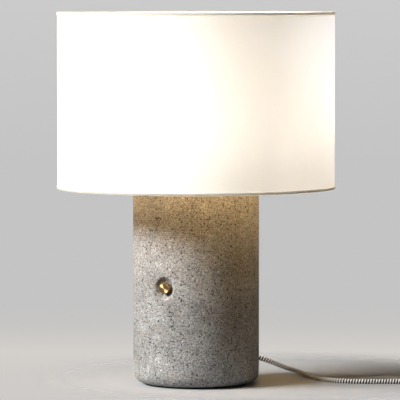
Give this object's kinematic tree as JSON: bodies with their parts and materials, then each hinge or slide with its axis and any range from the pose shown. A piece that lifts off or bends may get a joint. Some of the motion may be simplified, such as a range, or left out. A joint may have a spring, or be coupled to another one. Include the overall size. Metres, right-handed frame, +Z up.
{
  "type": "table lamp",
  "caption": "Table lamp with a cast concrete drum base, a sunken dimmer knob, a fabric drum shade on a harp and a textile lead.",
  "frame": {"origin": "bottom centre of the foot pad, where the lamp stands", "axes": "+Z up along the lamp's axis; -Y towards the dimmer knob; +Y towards the lead's outlet"},
  "size_m": [0.4719, 0.4814, 0.477],
  "materials": {
    "concrete": "cast concrete with fine dark and white grains, matte",
    "foot_pad": "matte black foam rubber",
    "zinc_steel": "zinc plated",
    "brass": "satin brass",
    "knob_brass": "lathe-turned, lacquered brass",
    "socket_brass": "spun brass",
    "harp_nickel": "nickel plated wire",
    "fibre_sleeve": "vulcanised fibre",
    "porcelain": "glazed",
    "cap_aluminium": "rolled aluminium",
    "black_plastic": "moulded",
    "circuit_board": "solder mask",
    "copper_winding": "enamelled winding",
    "capacitor_film": "dipped film",
    "black_rubber": "matte",
    "wire_insulation": "wire insulation",
    "textile_cord": "black and white braid",
    "cord_tie": "woven hook and loop strap",
    "plug_plastic": "moulded, fine texture",
    "blade_metal": "nickel-tinted brass",
    "screw_steel": "blackened",
    "shade_fabric": "woven linen-look sheet, translucent",
    "shade_trim": "rolled fabric tape",
    "white_enamel": "white enamel on wire",
    "bulb_shell": "white housing",
    "bulb_opal": "opal diffuser, lit"
  },
  "bodies": {
    "base": {"foot_pad": "foot_pad", "concrete_body": "concrete", "bottom_plate": "zinc_steel", "bottom_washer": "zinc_steel", "bottom_nut": "zinc_steel", "lamp_pipe": "zinc_steel", "check_ring": "brass", "harp_saddle": "harp_nickel", "saddle_nut": "zinc_steel", "socket_cap": "socket_brass", "socket_shell": "socket_brass", "socket_liner": "fibre_sleeve", "socket_core": "porcelain", "socket_screw_shell": "cap_aluminium", "socket_contact": "brass", "terminal_screws": "brass", "harp_wire": "harp_nickel", "harp_seat": "harp_nickel", "dimmer_case": "black_plastic", "dimmer_cover": "black_plastic", "dimmer_board": "circuit_board", "dimmer_choke": "copper_winding", "dimmer_capacitor": "capacitor_film", "dimmer_triac": "black_plastic", "dimmer_pot": "zinc_steel", "dimmer_bushing": "zinc_steel", "dimmer_washer": "zinc_steel", "dimmer_nut": "zinc_steel", "strain_relief": "black_rubber", "cord_inner": "textile_cord", "wire_live": "wire_insulation", "wire_neutral": "wire_insulation", "cord_lead": "textile_cord", "cord_coil": "textile_cord", "cord_tail": "textile_cord", "cord_tie": "cord_tie", "plug_body": "plug_plastic", "plug_blades": "blade_metal"},
    "knob": {"knob": "knob_brass", "knob_shaft": "zinc_steel", "knob_screw": "screw_steel", "dimmer_wiper": "brass"},
    "shade": {"shade_fabric": "shade_fabric", "shade_trim_top": "shade_trim", "shade_trim_bottom": "shade_trim", "shade_ring_top": "white_enamel", "shade_ring_bottom": "white_enamel", "spider_hub": "white_enamel", "spider_spokes": "white_enamel"},
    "finial": {"finial": "knob_brass"},
    "bulb": {"bulb_cap": "cap_aluminium", "bulb_insulator": "black_plastic", "bulb_contact": "blade_metal", "bulb_body": "bulb_shell", "bulb_driver": "circuit_board", "bulb_led_plate": "cap_aluminium", "bulb_dome": "bulb_opal"},
    "harp_sleeve_left": {"harp_sleeve_left": "harp_nickel"},
    "harp_sleeve_right": {"harp_sleeve_right": "harp_nickel"}
  },
  "joints": [
    {"name": "knob_turn", "type": "hinge", "parent": "base", "child": "knob", "pos_m": [0, -0.0732, 0.128], "axis": [0, -1, 0], "range_deg": [0, 280]},
    {"name": "shade_lift", "type": "slide", "parent": "base", "child": "shade", "axis": [0, 0, 1], "range_m": [0, 0.24]},
    {"name": "finial_turn", "type": "hinge", "parent": "shade", "child": "finial", "pos_m": [0, 0, 0.462], "axis": [0, 0, 1], "continuous": true},
    {"name": "bulb_turn", "type": "hinge", "parent": "base", "child": "bulb", "pos_m": [0, 0, 0.29], "axis": [0, 0, 1], "continuous": true},
    {"name": "sleeve_left_lift", "type": "slide", "parent": "base", "child": "harp_sleeve_left", "axis": [0, 0, 1], "range_m": [0, 0.012]},
    {"name": "sleeve_right_lift", "type": "slide", "parent": "base", "child": "harp_sleeve_right", "axis": [0, 0, 1], "range_m": [0, 0.012]}
  ]
}
